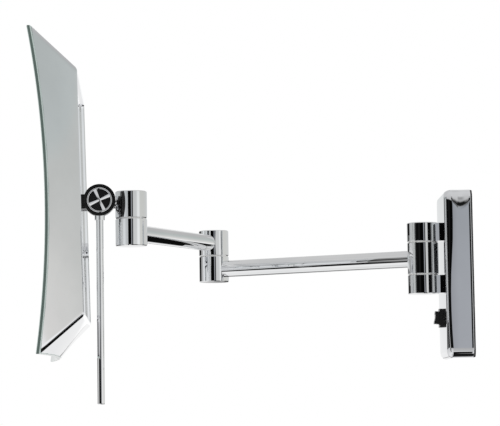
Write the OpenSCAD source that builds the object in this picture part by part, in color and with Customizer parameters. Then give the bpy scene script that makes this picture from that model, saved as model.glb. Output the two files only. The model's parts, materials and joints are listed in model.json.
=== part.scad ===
// Extendable shaving mirror on a two-part swing arm with a wall unit.
// Origin: centre of the wall unit's back face. The wall is the plane X = 0, the
// mirror stands out along -X, +Z is up, and all sizes are in millimetres.

/* [Wall unit] */
// Width of the wall cover along the wall
cover_w = 63; // [60:1:90]
// Height of the wall cover
cover_h = 123; // [112:1:160]
// Depth of the wall unit from the wall to the cover's face
cover_d = 20.5; // [18:0.5:30]
// Radius of the cover's four outline corners
cover_corner = 8; // [5:0.5:12]
// Radius of the edge round the cover's face
cover_edge = 3.5; // [2:0.5:4.5]
// Sheet thickness of the cover
cover_t = 1.5; // [1:0.1:2]
// Thickness of the steel mounting plate
mount_t = 1.5; // [1:0.1:2.5]
// Distance between the two wall-screw holes
wall_hole_pitch = 80; // [60:1:90]
// Diameter of the wall-screw holes
wall_hole_d = 5; // [4:0.5:6]
// Diameter of the cable hole in the mounting plate
cable_hole_d = 14; // [10:1:16]

/* [Rocker switch] */
// Height of the switch bezel
bezel_h = 13.7; // [12:0.1:16]
// Width of the switch bezel
bezel_w = 10.4; // [9:0.1:14]
// How far the bezel stands off the cover
bezel_t = 2.8; // [1.5:0.1:3.5]
// How far the rocker stands off the bezel
rocker_t = 3.4; // [2:0.1:4]
// Height of the switch centre below the wall unit's centre
switch_drop = 31.4; // [28:0.1:42]
// Angle that the rocker leans to each side of its middle
rocker_lean = 6; // [4:1:8]

/* [Hinges] */
// Outer diameter of every hinge barrel
barrel_d = 23.2; // [21:0.2:28]
// Gap between the wall hinge's barrel and the cover's face
barrel_gap = 2.1; // [1.5:0.1:8]
// Height of the elbow's and the head hinge's knuckles
knuckle_h = 19.8; // [18:0.2:26]
// Height of arm 1's knuckle at the wall
wall_knuckle_h = 23.6; // [20:0.2:30]
// Height of the two lugs at the wall
lug_h = 14.2; // [13:0.2:18]
// Width of the web that joins a lug to the cover
lug_web_w = 14; // [11:0.5:18]
// Thickness of the washers between the knuckles
washer_t = 0.4; // [0.3:0.1:1]
// Diameter of the hinge pins
pin_d = 8; // [7:0.5:9]
// Wall thickness of the hinge bushes
bush_t = 1.2; // [1:0.1:1.5]
// Diameter of the hinge caps
cap_d = 15; // [14:0.5:16]
// Thickness of the hinge caps
cap_t = 1.2; // [1:0.1:2]
// Chamfer on the barrels' ends
barrel_chamfer = 0.5; // [0.3:0.1:1]

/* [Arms] */
// Outer diameter of both arm tubes
tube_d = 12.7; // [11:0.1:14]
// Wall thickness of the arm tubes
tube_t = 1.2; // [0.8:0.1:2]
// Length of arm 1 between its hinge axes
arm1_len = 179; // [140:1:220]
// Length of arm 2 between its hinge axes
arm2_len = 129; // [110:1:150]
// Height of arm 1 above the wall unit's centre
arm1_z = 13; // [5:0.5:20]
// Angle of arm 1 from straight out of the wall
arm1_angle = 29.3; // [15:0.1:40]
// Angle of arm 2 from straight out, the other way
arm2_angle = 63; // [50:0.5:75]
// Diameter of the cable inside the arms
cable_d = 3.4; // [2.5:0.1:4]

/* [Tilt joint] */
// Gap between the head hinge's barrel and the bracket's round end
head_gap = 5.9; // [3:0.1:12]
// Height of the tilt axis above the middle of the swivel knuckle
tilt_rise = 2.3; // [0:0.1:3]
// Diameter of the stem between the swivel knuckle and its eye
stem_d = 9.5; // [8:0.5:12]
// Width of the eye between the bracket's ears
eye_w = 7; // [5:0.5:9]
// Thickness of the bracket's ear beside the handle hub
near_ear_w = 7; // [6.7:0.1:12]
// Thickness of the bracket's other ear
far_ear_w = 6; // [4.5:0.1:8]
// Height of the bracket
bracket_h = 10.4; // [10:0.2:14]
// Diameter of the tilt shaft
shaft_d = 5; // [4:0.5:5.5]
// Thickness of the friction washers
friction_t = 0.6; // [0.5:0.1:1.2]
// Diameter of the tension knob
knob_d = 18.6; // [16:0.2:24]
// Thickness of the tension knob
knob_t = 3.7; // [3.2:0.1:5]
// Turn of the knob's cross from upright
cross_turn = 23; // [0:1:45]

/* [Handle] */
// Width of the hub's rim round the knob
hub_rim = 1.9; // [1.5:0.1:4]
// Thickness of the hub
hub_t = 7.6; // [7.4:0.1:12]
// Diameter of the handle rod
rod_d = 5.3; // [4:0.1:7]
// Length from the tilt axis to the rod's lower end
rod_drop = 147; // [110:1:180]
// Diameter of the collar at the top of the rod
collar_d = 7.4; // [7.2:0.1:7.4]
// Length of the collar below the hub
collar_h = 3; // [2:0.1:10]

/* [Mirror head] */
// Side length of the square glass
glass_size = 224; // [200:1:250]
// Thickness of the glass
glass_t = 3; // [2:0.5:4]
// Radius of the concave glass
glass_r = 710; // [600:10:1200]
// Depth from the housing's back rim to the glass's corners
head_depth = 33; // [31:0.5:45]
// How far each wall tapers in from front to back
back_inset = 26; // [15:1:32]
// Sheet thickness of the housing
shell_t = 1.5; // [1:0.1:2.5]
// Distance from the tilt axis to the housing's back rim
back_gap = 11.4; // [10:0.1:18]
// How far the back plate sits inside the back rim
back_recess = 3; // [1:0.5:4]
// Thickness of the back plate
back_t = 1.2; // [1:0.1:2]
// Angle that the mirror turns from straight out
head_yaw = 2.5; // [0:0.5:10]
// Angle that the mirror leans forward
head_lean = 1.3; // [0:0.1:5]

/* [Fits] */
// Radial clearance of each pin in its bush or eye
run_gap = 0.05; // [0.02:0.01:0.1]
// Clearance round parts that move past each other
part_gap = 0.3; // [0.2:0.05:0.6]
// Clearance between parts that are only put together
fit_gap = 0.15; // [0.1:0.05:0.3]

/* [Hidden] */
$fn = 96;
cut = 1;                                    // how far a cutting shape runs past what it cuts
ring_n = 16;                                // steps along each side of the housing's rings

barrel_r = barrel_d / 2;
hinge_reach = cover_d + barrel_gap + barrel_r; // wall hinge's axis from the wall
head_reach = barrel_r + head_gap + bracket_h / 2; // tilt axis from the head hinge's axis
pin_r = pin_d / 2;
bush_r = pin_r + run_gap + bush_t;
pin_bore = cable_d + 1;                     // bore that lets the cable through the pins
pin_head_r = pin_r + 1.8;
pin_head_h = 2;
pin_end_gap = 0.4;                          // between a pin's end and the cap over it
cable_hole = cable_d + 0.6;
nut_h = 2.2;
nut_w = pin_d + 3.6;
spring_t = 0.8;
spring_w = 2.2;
cap_depth = cap_t + pin_end_gap + nut_h + spring_t; // pocket under a cap
washer_edge = 0.7;                          // how far a washer stays inside the barrel
socket_x = bush_r + 1.2;                    // where a tube ends inside a knuckle
cable_end = 2;                              // how far a cable stays inside its tube
arm2_z = arm1_z + knuckle_h + washer_t;
swivel_z = arm2_z + knuckle_h + washer_t;
tilt_z = swivel_z + tilt_rise;
lug_low_z = arm1_z - wall_knuckle_h / 2 - washer_t - lug_h;
lug_top_z = arm1_z + wall_knuckle_h / 2 + washer_t;

face_x = -cover_d;                          // plane of the cover's face
inner_x = face_x + cover_t;                 // inside of the cover's face
backing_t = 2;
backing_w = 24;
backing_edge = 2;
screw_d = 4;
screw_l = 7;                                // length of a lug screw inside its lug
screw_head_d = 7;
screw_head_h = 2.4;
screw_socket_w = 3;
screw_socket_h = 1.4;
tab_l = 12;
tab_w = 14;
tab_z = cover_h / 2 - cover_t - part_gap;   // outer face of the mounting plate's tabs
plate_gap_y = 0.5;                          // between the mounting plate and the cover's sides
grub_d = 3;
grub_l = 3.6;
grub_sink = 0.2;
grub_x = 5 - tab_l;
grommet_wall = 2.5;
grommet_lip = 2;
grommet_lip_t = 1.5;
driver_size = [11, 16, 42];
driver_y = -(cover_w / 2 - cover_t - 4);    // sides of the driver nearest the cover's walls
driver_z = -(cover_h / 2 - cover_t - 12);
lead_l = 3;
block_size = [9, 12, 24];
block_y = cable_hole_d / 2 + grommet_lip + 1;
block_pitch = 8;
block_hole_d = 3.4;
block_hole_l = 6;
bezel_r = 1.2;
bezel_lip = 1.2;                            // how far the bezel covers the cut-out's edge
switch_z = -switch_drop;
switch_body_h = bezel_h - 2 * bezel_lip;
switch_body_w = bezel_w - 2 * bezel_lip;
switch_body_l = 10;
rocker_h = bezel_h - 4.4;
rocker_w = bezel_w - 3;
rocker_seat = 1.6;                          // how deep the rocker's seat is
rocker_foot = 0.4;                          // from the rocker's foot to its axis
rocker_dish_r = 10;
rocker_dish = 0.4;
rocker_pin_end = 0.6;
rocker_pin_d = 2.4;
rocker_axis_x = face_x - bezel_t + 1.2;

eye_d = bracket_h - 2 * part_gap;
ear_y = eye_w / 2 + friction_t;             // inner face of the bracket's ears
near_y = ear_y + near_ear_w;                // outer face of the ear under the knob
far_y = ear_y + far_ear_w;                  // outer face of the other ear
ears = [[ear_y, near_ear_w], [-far_y, far_ear_w]]; // low side and thickness of each ear
bracket_base = 4;
stem_flat_x = head_reach - bracket_h / 2 - 2 * part_gap; // flats start before the ears
bracket_screw_l = 7;
hub_face_y = near_y + hub_t;
hub_r = knob_d / 2 + part_gap + hub_rim;
rod_y = near_y + hub_t / 2;
rod_chamfer = 0.5;
rod_top = -hub_r + hub_rim - part_gap;      // where the rod ends in the hub's rim
knob_back_y = hub_face_y - knob_t;
knob_dish = 1;
knob_cap = 2.2;                             // from the shaft's end to the knob's face
trim_ring_w = 1;
trim_bar_w = 1.8;
plate_x = back_gap + back_recess;           // back face of the back plate
front_half = glass_size / 2;
back_half = front_half - back_inset;
rim_half = front_half - 0.6;                // the glass stands a little past the housing
glass_sag = glass_r - sqrt(pow(glass_r, 2) - 2 * pow(front_half, 2));
glass_x = back_gap + head_depth - glass_sag; // middle of the glass's front
sphere_x = glass_x + glass_r;
rim_r = glass_r + glass_t + fit_gap;        // sphere that the housing's front rim follows
ledge_w = 11;                               // ledge inside the housing, which carries the plates
ledge_t = 1.2;
ledge_x = plate_x + back_t;
weld_gap = 0.05;                            // between the ledge and the housing's wall
plate_half = back_half + back_recess * back_inset / head_depth - shell_t - fit_gap;
plate_screw = plate_half - 5.5;
plate_screw_d = 3;
plate_head_d = 5.5;
plate_head_h = 1.6;
slot_w = 0.8;
slot_l = 3.8;
slot_h = 0.9;
board_x = ledge_x + ledge_t;
board_t = 1.6;
board_half = back_half - shell_t;
board_w = 9;
led_w = 3;
led_t = 1.4;
led_n = 9;
diffuser_t = 2;
diffuser_half = back_half + 3;
diffuser_w = 14;
diffuser_x = board_x + board_t + led_t + part_gap;

// ---- places -------------------------------------------------------------

// Along arm 1: origin on the wall hinge's axis, +X towards the elbow.
module on_arm1() {
    translate([-hinge_reach, 0, 0])
        rotate([0, 0, 180 - arm1_angle])
            children();
}

// Along arm 2: origin on the elbow's axis, +X towards the head hinge.
module on_arm2() {
    on_arm1()
        translate([arm1_len, 0, 0])
            rotate([0, 0, arm1_angle + arm2_angle])
                children();
}

// At the head hinge: origin on its axis, +X towards the mirror.
module on_swivel() {
    on_arm2()
        translate([arm2_len, 0, 0])
            rotate([0, 0, head_yaw - arm2_angle])
                children();
}

// At the tilt axis, upright: +X towards the mirror, +Y towards the knob.
module on_tilt() {
    on_swivel()
        translate([head_reach, 0, tilt_z])
            children();
}

// The same, leaning forward with the mirror.
module on_head() {
    on_tilt()
        rotate([0, head_lean, 0])
            children();
}

// ---- shapes that repeat ---------------------------------------------------

module along_x(d, x0, x1) {
    translate([x0, 0, 0])
        rotate([0, 90, 0])
            cylinder(d = d, h = x1 - x0);
}

module along_y(d, y0, y1) {
    translate([0, y0, 0])
        rotate([-90, 0, 0])
            cylinder(d = d, h = y1 - y0);
}

// Barrel with chamfered ends, standing on z0.
module barrel(d, z0, h) {
    c = barrel_chamfer;
    translate([0, 0, z0])
        rotate_extrude()
            polygon([[0, 0], [d / 2 - c, 0], [d / 2, c], [d / 2, h - c], [d / 2 - c, h], [0, h]]);
}

module ring(r_out, r_in, z0, h) {
    translate([0, 0, z0])
        difference() {
            cylinder(r = r_out, h = h);
            translate([0, 0, -cut])
                cylinder(r = r_in, h = h + 2 * cut);
        }
}

// Pocket for a cap, the nut and the spring, open at z0 and going up (dir 1) or down (dir -1).
module cap_pocket(z0, dir) {
    translate([0, 0, dir > 0 ? z0 - cut : z0 - cap_depth])
        cylinder(d = cap_d, h = cap_depth + cut);
}

// Hollow hinge pin between two heights, with its head at head_z and a cable hole at cable_z.
module hinge_pin(z0, z1, head_z, cable_z) {
    color("silver")
        difference() {
            union() {
                ring(pin_r, pin_bore / 2, z0, z1 - z0);
                ring(pin_head_r, pin_bore / 2, head_z, pin_head_h);
            }
            translate([0, 0, cable_z])
                along_x(cable_hole, 0, pin_r + cut);
        }
}

module hinge_nut(z0) {
    color("gray")
        translate([0, 0, z0])
            difference() {
                cylinder(d = nut_w, h = nut_h, $fn = 6);
                translate([0, 0, -cut])
                    cylinder(r = pin_r, h = nut_h + 2 * cut);
            }
}

module hinge_cap(z0) {
    color("silver")
        translate([0, 0, z0])
            cylinder(d = cap_d, h = cap_t);
}

// Arm knuckle: barrel with a through bore, cap pocket and a socket for the tube along +X.
module knuckle(z0, h, bore_r, socket_z, pocket) {
    color("silver")
        difference() {
            barrel(barrel_d, z0, h);
            translate([0, 0, z0 - cut])
                cylinder(r = bore_r, h = h + 2 * cut);
            if (pocket == "low") cap_pocket(z0, 1);
            if (pocket == "top") cap_pocket(z0 + h, -1);
            translate([0, 0, socket_z]) {
                along_x(tube_d, socket_x, barrel_r + cut);
                along_x(cable_hole, 0, socket_x + cut);
            }
        }
}

module arm_tube(len, z) {
    color("silver")
        translate([0, 0, z])
            difference() {
                along_x(tube_d, socket_x, len - socket_x);
                along_x(tube_d - 2 * tube_t, socket_x - cut, len - socket_x + cut);
            }
}

module arm_cable(len, z) {
    color("dimgray")
        translate([0, 0, z - tube_d / 2 + tube_t + cable_d / 2 + part_gap])
            along_x(cable_d, socket_x + cable_end, len - socket_x - cable_end);
}

// Rounded rectangle in the Y-Z plane, extruded from x0 to x1.
module slab(w, h, r, x0, x1) {
    translate([x0, 0, 0])
        rotate([90, 0, 90])
            linear_extrude(height = x1 - x0)
                rounded(w, h, r);
}

module rounded(w, h, r) {
    union() {
        square([w - 2 * r, h], center = true);
        square([w, h - 2 * r], center = true);
        for (sx = [-1, 1], sy = [-1, 1])
            translate([sx * (w / 2 - r), sy * (h / 2 - r)])
                circle(r = r);
    }
}

// Profile of a tray: back at x = 0, rounded edges of radius r at its face x = -d.
module tray_profile(span, d, r) {
    union() {
        translate([-d + r, -span / 2])
            square([d - r, span]);
        translate([-d, -span / 2 + r])
            square([d, span - 2 * r]);
        for (s = [-1, 1])
            translate([-d + r, s * (span / 2 - r)])
                circle(r = r);
    }
}

// Solid with the outline w x h (corner radius rc) and face edges of radius re.
module pillow(w, h, d, rc, re) {
    intersection() {
        slab(w, h, rc, -d, 0);
        translate([0, 0, -h])
            linear_extrude(height = 2 * h)
                tray_profile(w, d, re);
        translate([0, w, 0])
            rotate([90, 0, 0])
                linear_extrude(height = 2 * w)
                    tray_profile(h, d, re);
    }
}

// Square ring round the head's axis, from x0 to x1, outer half-size half and width w.
module square_ring(half, w, x0, x1) {
    difference() {
        translate([x0, -half, -half])
            cube([x1 - x0, 2 * half, 2 * half]);
        translate([x0 - cut, -half + w, -half + w])
            cube([x1 - x0 + 2 * cut, 2 * (half - w), 2 * (half - w)]);
    }
}

// ---- wall unit ------------------------------------------------------------

module mounting_plate() {
    color("lightgray")
        difference() {
            union() {
                slab(cover_w - 2 * (cover_t + plate_gap_y), 2 * tab_z, cover_corner - cover_t,
                    -mount_t, 0);
                for (s = [-1, 1])
                    translate([-tab_l, -tab_w / 2, s > 0 ? tab_z - mount_t : -tab_z])
                        cube([tab_l - mount_t / 2, tab_w, mount_t]);
            }
            for (s = [-1, 1])
                translate([0, 0, s * wall_hole_pitch / 2])
                    along_x(wall_hole_d, -mount_t - cut, cut);
            along_x(cable_hole_d, -mount_t - cut, cut);
            for (s = [-1, 1])
                translate([grub_x, 0, s * tab_z - mount_t - cut])
                    cylinder(d = grub_d, h = 2 * (mount_t + cut));
        }
}

module cover_shell() {
    color("silver")
        difference() {
            pillow(cover_w, cover_h, cover_d, cover_corner, cover_edge);
            translate([cut, 0, 0])
                pillow(cover_w - 2 * cover_t, cover_h - 2 * cover_t, cover_d - cover_t + cut,
                    cover_corner - cover_t, cover_edge - cover_t);
            for (z = [lug_low_z, lug_top_z])
                translate([0, 0, z + lug_h / 2])
                    along_x(screw_d, face_x - cut, inner_x + cut);
            translate([face_x - cut, -switch_body_w / 2, switch_z - switch_body_h / 2])
                cube([cover_t + 2 * cut, switch_body_w, switch_body_h]);
            for (s = [-1, 1])
                translate([grub_x, 0, s * (cover_h / 2 - cover_t / 2) - cover_t])
                    cylinder(d = grub_d, h = 2 * cover_t);
        }
}

module cover_screws() {
    color("gray")
        for (s = [-1, 1])
            translate([grub_x, 0, s * (cover_h / 2 - grub_sink - grub_l / 2) - grub_l / 2])
                cylinder(d = grub_d, h = grub_l);
}

module cable_grommet() {
    lip_x = -mount_t - grommet_lip_t;
    color("black")
        difference() {
            union() {
                along_x(cable_hole_d, -mount_t, 0);
                along_x(cable_hole_d + 2 * grommet_lip, lip_x, -mount_t);
            }
            along_x(cable_hole_d - 2 * grommet_wall, lip_x - cut, cut);
        }
}

module led_driver() {
    color("white")
        translate([-mount_t - driver_size[0], driver_y, driver_z])
            difference() {
                cube(driver_size);
                for (z = [-cut, driver_size[2] - lead_l])
                    translate([driver_size[0] / 2, driver_size[1] / 2, z])
                        cylinder(d = cable_d, h = lead_l + cut);
            }
}

module terminal_block() {
    color("ivory")
        translate([-mount_t - block_size[0], block_y, -block_size[2] / 2])
            difference() {
                cube(block_size);
                for (i = [0:2])
                    translate([0, block_size[1] / 2, (i + 0.5) * block_pitch])
                        along_x(block_hole_d, -cut, block_hole_l);
            }
}

module switch_body() {
    color("black")
        difference() {
            translate([0, 0, switch_z])
                union() {
                    slab(bezel_w, bezel_h, bezel_r, face_x - bezel_t, face_x);
                    translate([face_x, -switch_body_w / 2, -switch_body_h / 2])
                        cube([switch_body_l, switch_body_w, switch_body_h]);
                }
            translate([face_x - bezel_t - cut, -rocker_w / 2 - part_gap,
                    switch_z - rocker_h / 2 - part_gap])
                cube([rocker_seat + cut, rocker_w + 2 * part_gap, rocker_h + 2 * part_gap]);
            translate([rocker_axis_x, 0, switch_z])
                along_y(rocker_pin_d + 2 * run_gap, -rocker_w / 2, rocker_w / 2);
        }
}

// The rocker is a block that leans about its own cross pin.
module switch_rocker() {
    top = rocker_t + rocker_axis_x - face_x + bezel_t;
    color("black")
        translate([rocker_axis_x, 0, switch_z])
            rotate([0, rocker_lean, 0])
                difference() {
                    union() {
                        translate([-top, -rocker_w / 2, -rocker_h / 2])
                            cube([top - rocker_foot, rocker_w, rocker_h]);
                        along_y(rocker_pin_d, rocker_pin_end - rocker_w / 2,
                            rocker_w / 2 - rocker_pin_end);
                    }
                    translate([-top - rocker_dish_r + rocker_dish, 0, 0])
                        along_y(2 * rocker_dish_r, -rocker_w, rocker_w);
                }
}

module backing_plate() {
    z0 = lug_low_z - backing_edge;
    z1 = lug_top_z + lug_h + backing_edge;
    color("lightgray")
        difference() {
            translate([inner_x, -backing_w / 2, z0])
                cube([backing_t, backing_w, z1 - z0]);
            for (z = [lug_low_z, lug_top_z])
                translate([0, 0, z + lug_h / 2])
                    along_x(screw_d, inner_x - cut, inner_x + backing_t + cut);
        }
}

module lug_screws() {
    head_x = inner_x + backing_t;
    color("gray")
        for (z = [lug_low_z, lug_top_z])
            translate([0, 0, z + lug_h / 2])
                difference() {
                    union() {
                        along_x(screw_d, face_x - screw_l, head_x + cut);
                        along_x(screw_head_d, head_x, head_x + screw_head_h);
                    }
                    translate([head_x + screw_head_h - screw_socket_h, 0, 0])
                        rotate([0, 90, 0])
                            cylinder(d = screw_socket_w, h = screw_socket_h + cut, $fn = 6);
                }
}

// Lug of the wall hinge: half of a clevis, with its web on the cover's face.
module hinge_lug(z0, pocket) {
    color("silver")
        difference() {
            union() {
                translate([-hinge_reach, 0, 0])
                    barrel(barrel_d, z0, lug_h);
                translate([-hinge_reach, -lug_web_w / 2, z0 + barrel_chamfer])
                    cube([hinge_reach - cover_d, lug_web_w, lug_h - 2 * barrel_chamfer]);
            }
            translate([-hinge_reach, 0, 0]) {
                translate([0, 0, z0 - cut])
                    cylinder(r = pin_r, h = lug_h + 2 * cut);
                if (pocket == "low") cap_pocket(z0, 1);
                if (pocket == "top") cap_pocket(z0 + lug_h, -1);
            }
            translate([0, 0, z0 + lug_h / 2])
                along_x(screw_d, face_x - screw_l, face_x + cut);
        }
}

module upper_lug() { hinge_lug(lug_top_z, "top"); }

module lower_lug() { hinge_lug(lug_low_z, "low"); }

module wall_pin() {
    translate([-hinge_reach, 0, 0])
        rotate([0, 0, 180 - arm1_angle])
            hinge_pin(lug_low_z + cap_t + pin_end_gap, lug_top_z + lug_h - cap_t - pin_end_gap,
                lug_top_z + lug_h - cap_depth, arm1_z);
}

module wall_washers() {
    color("white")
        translate([-hinge_reach, 0, 0])
            for (z = [arm1_z - wall_knuckle_h / 2 - washer_t, arm1_z + wall_knuckle_h / 2])
                ring(barrel_r - washer_edge, bush_r, z, washer_t);
}

module wall_nut() {
    translate([-hinge_reach, 0, 0])
        hinge_nut(lug_low_z + cap_depth - nut_h);
}

module wall_caps() {
    translate([-hinge_reach, 0, 0]) {
        hinge_cap(lug_low_z);
        hinge_cap(lug_top_z + lug_h - cap_t);
    }
}

// ---- arm 1 ------------------------------------------------------------------

module arm1_wall_knuckle() {
    on_arm1()
        knuckle(arm1_z - wall_knuckle_h / 2, wall_knuckle_h, bush_r, arm1_z, "none");
}

module hinge_bush(z0, h, cable_z) {
    color("white")
        difference() {
            ring(bush_r, pin_r + run_gap, z0, h);
            translate([0, 0, cable_z])
                along_x(cable_hole, 0, bush_r + cut);
        }
}

module wall_bush() {
    on_arm1()
        hinge_bush(arm1_z - wall_knuckle_h / 2, wall_knuckle_h, arm1_z);
}

module arm1_tube() { on_arm1() arm_tube(arm1_len, arm1_z); }

module arm1_cable() { on_arm1() arm_cable(arm1_len, arm1_z); }

module arm1_elbow_knuckle() {
    on_arm1()
        translate([arm1_len, 0, 0])
            rotate([0, 0, 180])
                knuckle(arm1_z - knuckle_h / 2, knuckle_h, pin_r, arm1_z, "low");
}

// ---- elbow and head hinge: the pin stays with the lower knuckle -------------

module stacked_pin(low_z) {
    z0 = low_z - knuckle_h / 2;
    z1 = low_z + 1.5 * knuckle_h + washer_t;
    hinge_pin(z0 + cap_t + pin_end_gap, z1 - cap_t - pin_end_gap,
        z0 + cap_depth - pin_head_h, low_z);
}

module stacked_washer(low_z) {
    color("white")
        ring(barrel_r - washer_edge, pin_r, low_z + knuckle_h / 2, washer_t);
}

module stacked_bush(low_z) {
    color("white")
        ring(bush_r, pin_r + run_gap, low_z + knuckle_h / 2 + washer_t, knuckle_h - cap_depth);
}

module stacked_spring(low_z) {
    color("gray")
        ring(pin_r + spring_w, pin_r + part_gap, low_z + 1.5 * knuckle_h + washer_t - cap_depth,
            spring_t);
}

module stacked_nut(low_z) {
    hinge_nut(low_z + 1.5 * knuckle_h + washer_t - cap_depth + spring_t);
}

module at_elbow() { on_arm1() translate([arm1_len, 0, 0]) rotate([0, 0, 180]) children(); }

module at_head() { on_arm2() translate([arm2_len, 0, 0]) rotate([0, 0, 180]) children(); }

module elbow_pin() { at_elbow() stacked_pin(arm1_z); }

module elbow_washer() { at_elbow() stacked_washer(arm1_z); }

module elbow_nut() { at_elbow() stacked_nut(arm1_z); }

module elbow_lower_cap() { at_elbow() hinge_cap(arm1_z - knuckle_h / 2); }

module elbow_bush() { at_elbow() stacked_bush(arm1_z); }

module elbow_spring() { at_elbow() stacked_spring(arm1_z); }

module elbow_upper_cap() { at_elbow() hinge_cap(arm2_z + knuckle_h / 2 - cap_t); }

// ---- arm 2 --------------------------------------------------------------------

module arm2_elbow_knuckle() {
    on_arm2()
        knuckle(arm2_z - knuckle_h / 2, knuckle_h, bush_r, arm2_z, "top");
}

module arm2_tube() { on_arm2() arm_tube(arm2_len, arm2_z); }

module arm2_cable() { on_arm2() arm_cable(arm2_len, arm2_z); }

module arm2_head_knuckle() {
    at_head()
        knuckle(arm2_z - knuckle_h / 2, knuckle_h, pin_r, arm2_z, "low");
}

module head_pin() { at_head() stacked_pin(arm2_z); }

module head_washer() { at_head() stacked_washer(arm2_z); }

module head_nut() { at_head() stacked_nut(arm2_z); }

module head_lower_cap() { at_head() hinge_cap(arm2_z - knuckle_h / 2); }

// ---- swivel ---------------------------------------------------------------------

module swivel_knuckle() {
    color("silver")
        on_swivel()
            difference() {
                union() {
                    barrel(barrel_d, swivel_z - knuckle_h / 2, knuckle_h);
                    translate([0, 0, tilt_z]) {
                        along_x(stem_d, bush_r + cut, stem_flat_x);
                        intersection() {
                            along_x(stem_d, bush_r + cut, head_reach);
                            translate([0, -eye_w / 2, -stem_d])
                                cube([head_reach, eye_w, 2 * stem_d]);
                        }
                        translate([head_reach, 0, 0])
                            along_y(eye_d, -eye_w / 2, eye_w / 2);
                    }
                }
                translate([0, 0, swivel_z - knuckle_h / 2 - cut])
                    cylinder(r = bush_r, h = knuckle_h + 2 * cut);
                cap_pocket(swivel_z + knuckle_h / 2, -1);
                translate([head_reach, 0, tilt_z])
                    along_y(shaft_d + 2 * run_gap, -eye_w / 2 - cut, eye_w / 2 + cut);
            }
}

module head_bush() { at_head() stacked_bush(arm2_z); }

module head_spring() { at_head() stacked_spring(arm2_z); }

module head_upper_cap() { at_head() hinge_cap(swivel_z + knuckle_h / 2 - cap_t); }

// ---- tilt joint and handle ------------------------------------------------------

// Black clevis: two ears round the eye, joined by a base on the back plate.
module pivot_bracket() {
    r = bracket_h / 2;
    color("black")
        on_head()
            difference() {
                union() {
                    for (e = ears)
                        translate([0, e[0], 0]) {
                            along_y(bracket_h, 0, e[1]);
                            translate([0, 0, -r])
                                cube([plate_x, e[1], bracket_h]);
                        }
                    translate([plate_x - bracket_base, -far_y, -r])
                        cube([bracket_base, far_y + near_y, bracket_h]);
                }
                along_y(shaft_d, -far_y - cut, near_y + cut);
                at_ears()
                    along_x(plate_screw_d, plate_x - bracket_screw_l, plate_x + cut);
            }
}

// Along the handle: the rod hangs upright under the hub.
module on_handle() {
    rotate([0, -head_lean, 0])
        translate([0, rod_y, 0])
            children();
}

// In the middle of each ear's thickness.
module at_ears() {
    for (e = ears)
        translate([0, e[0] + e[1] / 2, 0])
            children();
}

module bracket_screws() {
    head_x = plate_x + back_t;
    color("gray")
        on_head()
            at_ears() {
                along_x(plate_screw_d, plate_x - bracket_screw_l, head_x + cut);
                along_x(plate_head_d, head_x, head_x + plate_head_h);
            }
}

module tilt_shaft() {
    color("gray")
        on_head()
            along_y(shaft_d, -far_y, hub_face_y - knob_cap);
}

module friction_washers() {
    color("dimgray")
        on_head()
            for (y = [-ear_y, eye_w / 2])
                translate([0, y, 0])
                    difference() {
                        along_y(eye_d, 0, friction_t);
                        along_y(shaft_d + 2 * part_gap, -cut, friction_t + cut);
                    }
}

// Round hub beside the bracket: it holds the rod and lets the knob sink into its face.
module handle_hub() {
    color("black")
        on_head()
            difference() {
                along_y(2 * hub_r, near_y, hub_face_y);
                along_y(knob_d + 2 * part_gap, knob_back_y - part_gap, hub_face_y + cut);
                along_y(shaft_d, near_y - cut, hub_face_y);
                on_handle()
                    translate([0, 0, -hub_r - cut])
                        cylinder(d = rod_d, h = hub_r + cut + rod_top);
            }
}

// The collar's top is hollowed to sit round the hub.
module handle_collar() {
    low_z = -hub_r - collar_h;
    color("silver")
        on_head()
            difference() {
                on_handle()
                    difference() {
                        translate([0, 0, low_z])
                            cylinder(d = collar_d, h = collar_h + 1);
                        translate([0, 0, low_z - cut])
                            cylinder(d = rod_d, h = collar_h + 1 + 2 * cut);
                    }
                along_y(2 * hub_r, near_y, hub_face_y);
            }
}

module handle_rod() {
    len = rod_drop + rod_top;
    r = rod_d / 2;
    c = rod_chamfer;
    color("silver")
        on_head()
            on_handle()
                translate([0, 0, -rod_drop])
                    rotate_extrude()
                        polygon([[0, 0], [r - c, 0], [r, c], [r, len], [0, len]]);
}

// ---- tension knob -------------------------------------------------------------------

module tension_knob() {
    color("black")
        on_head()
            difference() {
                along_y(knob_d, knob_back_y, hub_face_y);
                along_y(knob_d + cut, hub_face_y - knob_dish, hub_face_y + cut);
                along_y(shaft_d + 2 * run_gap, knob_back_y - cut, hub_face_y - knob_cap + part_gap);
            }
}

// Chrome ring with a raised cross on the knob's face.
module knob_trim() {
    r = knob_d / 2;
    half = r - trim_ring_w / 2;
    color("silver")
        on_head()
            translate([0, hub_face_y - knob_dish, 0])
                union() {
                    difference() {
                        along_y(2 * r, 0, knob_dish);
                        along_y(2 * (r - trim_ring_w), -cut, knob_dish + cut);
                    }
                    for (a = [0, 90])
                        rotate([0, a + cross_turn, 0])
                            translate([-half, 0, -trim_bar_w / 2])
                                cube([2 * half, knob_dish, trim_bar_w]);
                }
}

// ---- mirror head ------------------------------------------------------------------

module back_plate() {
    color("silver")
        on_head()
            difference() {
                translate([plate_x, -plate_half, -plate_half])
                    cube([back_t, 2 * plate_half, 2 * plate_half]);
                for (sy = [-1, 1], sz = [-1, 1])
                    translate([0, sy * plate_screw, sz * plate_screw])
                        along_x(plate_screw_d, plate_x - cut, plate_x + back_t + cut);
                at_ears()
                    along_x(plate_screw_d, plate_x - cut, plate_x + back_t + cut);
            }
}

module back_plate_screws() {
    color("gray")
        on_head()
            for (sy = [-1, 1], sz = [-1, 1])
                translate([0, sy * plate_screw, sz * plate_screw])
                    difference() {
                        union() {
                            along_x(plate_screw_d, plate_x - cut, plate_x + back_t + ledge_t);
                            along_x(plate_head_d, plate_x - plate_head_h, plate_x);
                        }
                        translate([plate_x - plate_head_h - cut, -slot_w / 2, -slot_l / 2])
                            cube([cut + slot_h, slot_w, slot_l]);
                    }
}

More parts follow.
